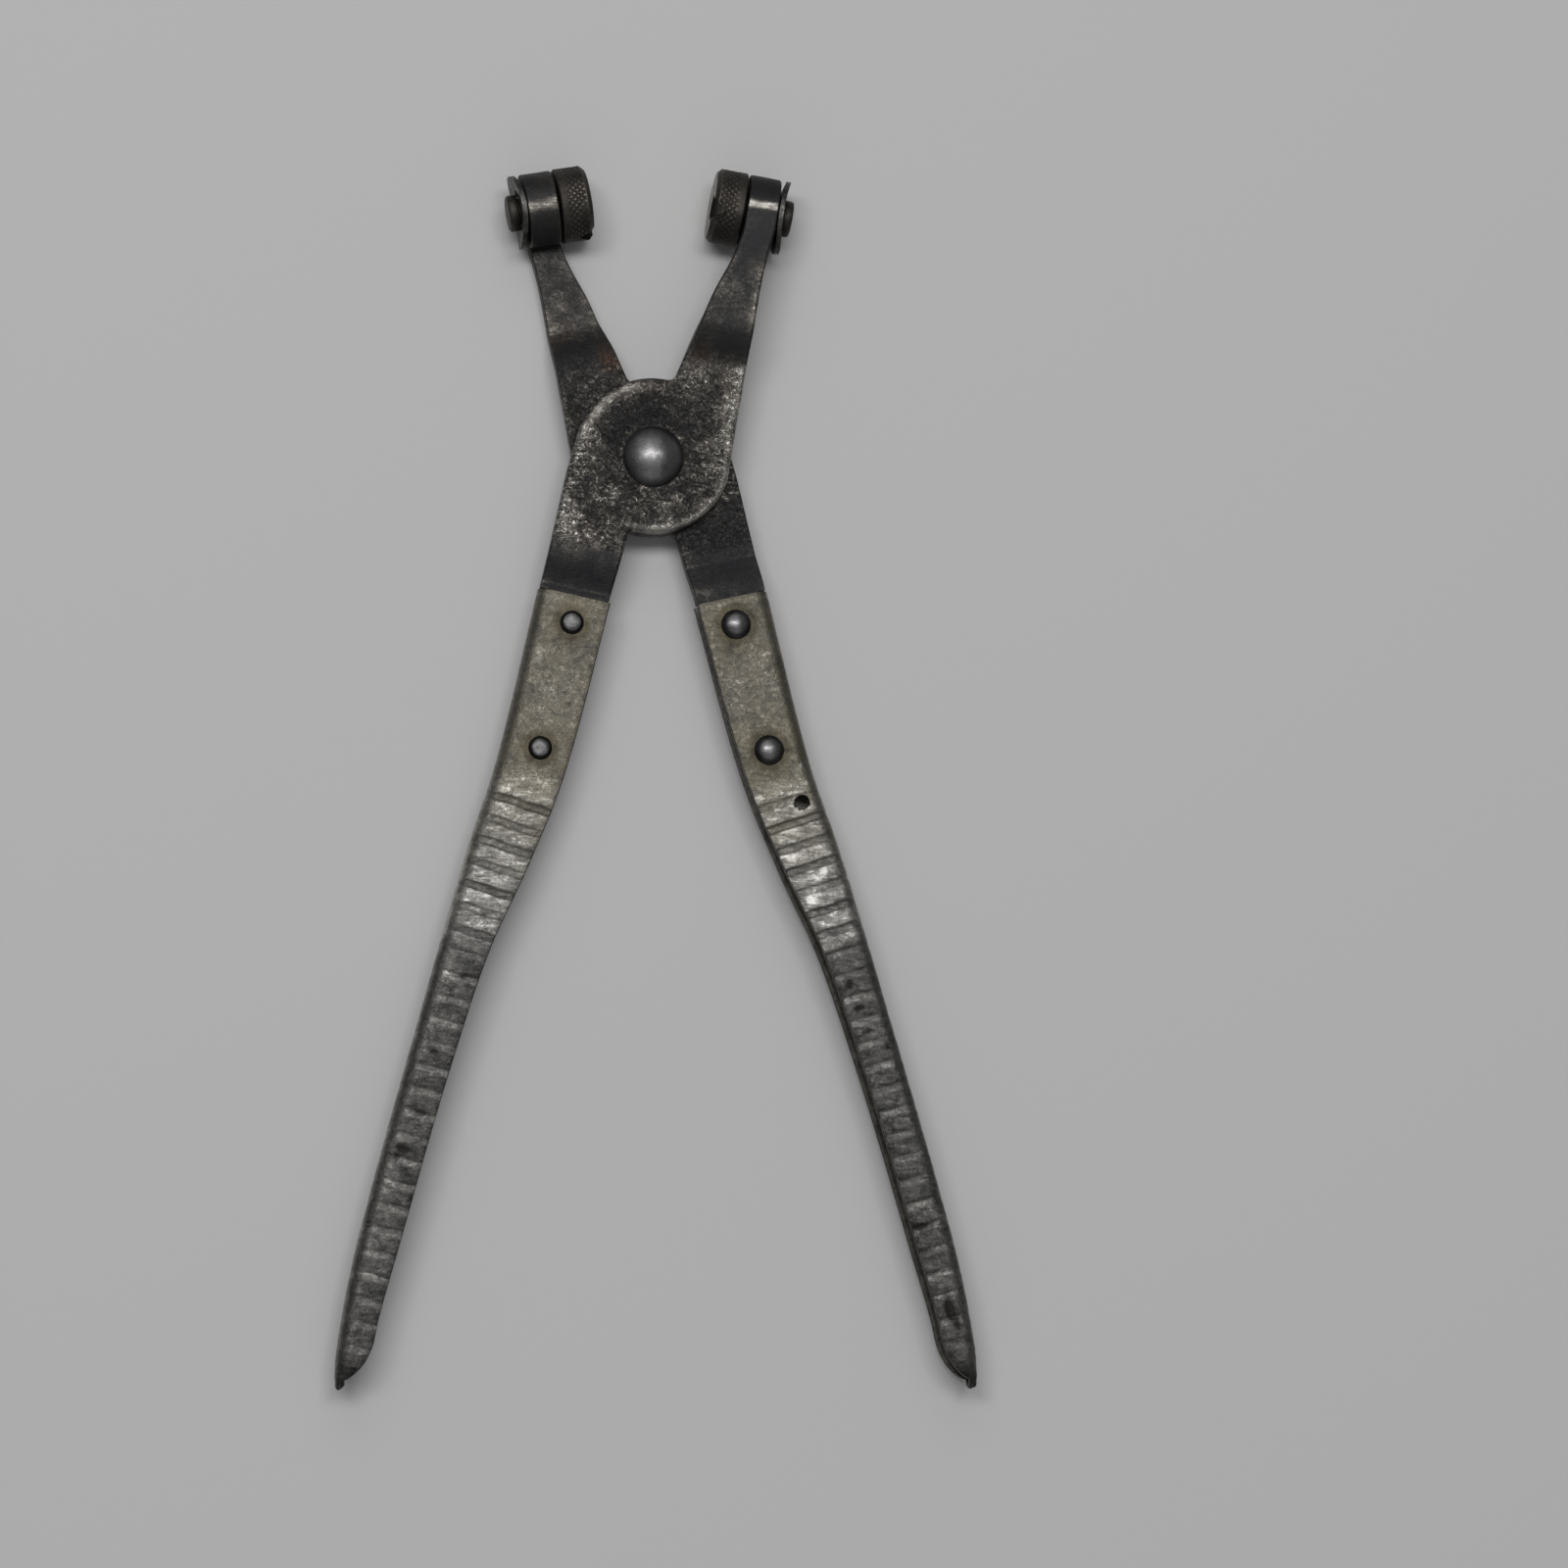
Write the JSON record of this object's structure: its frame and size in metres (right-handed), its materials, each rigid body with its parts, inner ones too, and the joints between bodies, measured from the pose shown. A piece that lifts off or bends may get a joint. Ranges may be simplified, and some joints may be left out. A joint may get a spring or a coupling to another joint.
{
  "type": "hose clamp pliers",
  "caption": "Crossed-lever pliers with swivelling grooved jaws for squeezing spring hose clamps, and ribbed sheet-metal channel handles.",
  "frame": {"origin": "centre of the bounding box in X and Y, on the surface that the tool lies on", "axes": "+X to the right of the pictured face, +Y toward the jaws, +Z out of the pictured face"},
  "size_m": [0.113, 0.2186, 0.0134],
  "materials": {
    "lever_steel": "worn black oxide on forged steel",
    "handle_steel": "dull plating, darkened along the grip",
    "rivet_steel": "smooth steel",
    "jaw_steel": "brown-grey knurled steel",
    "clip_steel": "dull spring steel"
  },
  "bodies": {
    "front_half": {"front_lever": "lever_steel", "left_handle": "handle_steel", "left_upper_rivet": "rivet_steel", "left_lower_rivet": "rivet_steel", "pivot_rivet": "rivet_steel"},
    "rear_half": {"rear_lever": "lever_steel", "right_handle": "handle_steel", "right_upper_rivet": "rivet_steel", "right_lower_rivet": "rivet_steel"},
    "left_jaw": {"left_swivel_jaw": "jaw_steel", "left_retaining_clip": "clip_steel"},
    "right_jaw": {"right_swivel_jaw": "jaw_steel", "right_retaining_clip": "clip_steel"}
  },
  "joints": [
    {"name": "pivot", "type": "hinge", "parent": "front_half", "child": "rear_half", "pos_m": [0, 0.05604, 0.0067], "axis": [0, 0, 1], "range_deg": [-25.6, 32]},
    {"name": "left_swivel", "type": "hinge", "parent": "rear_half", "child": "left_jaw", "pos_m": [-0.01112, 0.10284, 0.0067], "axis": [-0.9851, -0.1719, 0], "continuous": true},
    {"name": "right_swivel", "type": "hinge", "parent": "front_half", "child": "right_jaw", "pos_m": [0.01112, 0.10284, 0.0067], "axis": [0.9851, -0.1719, 0], "continuous": true}
  ]
}
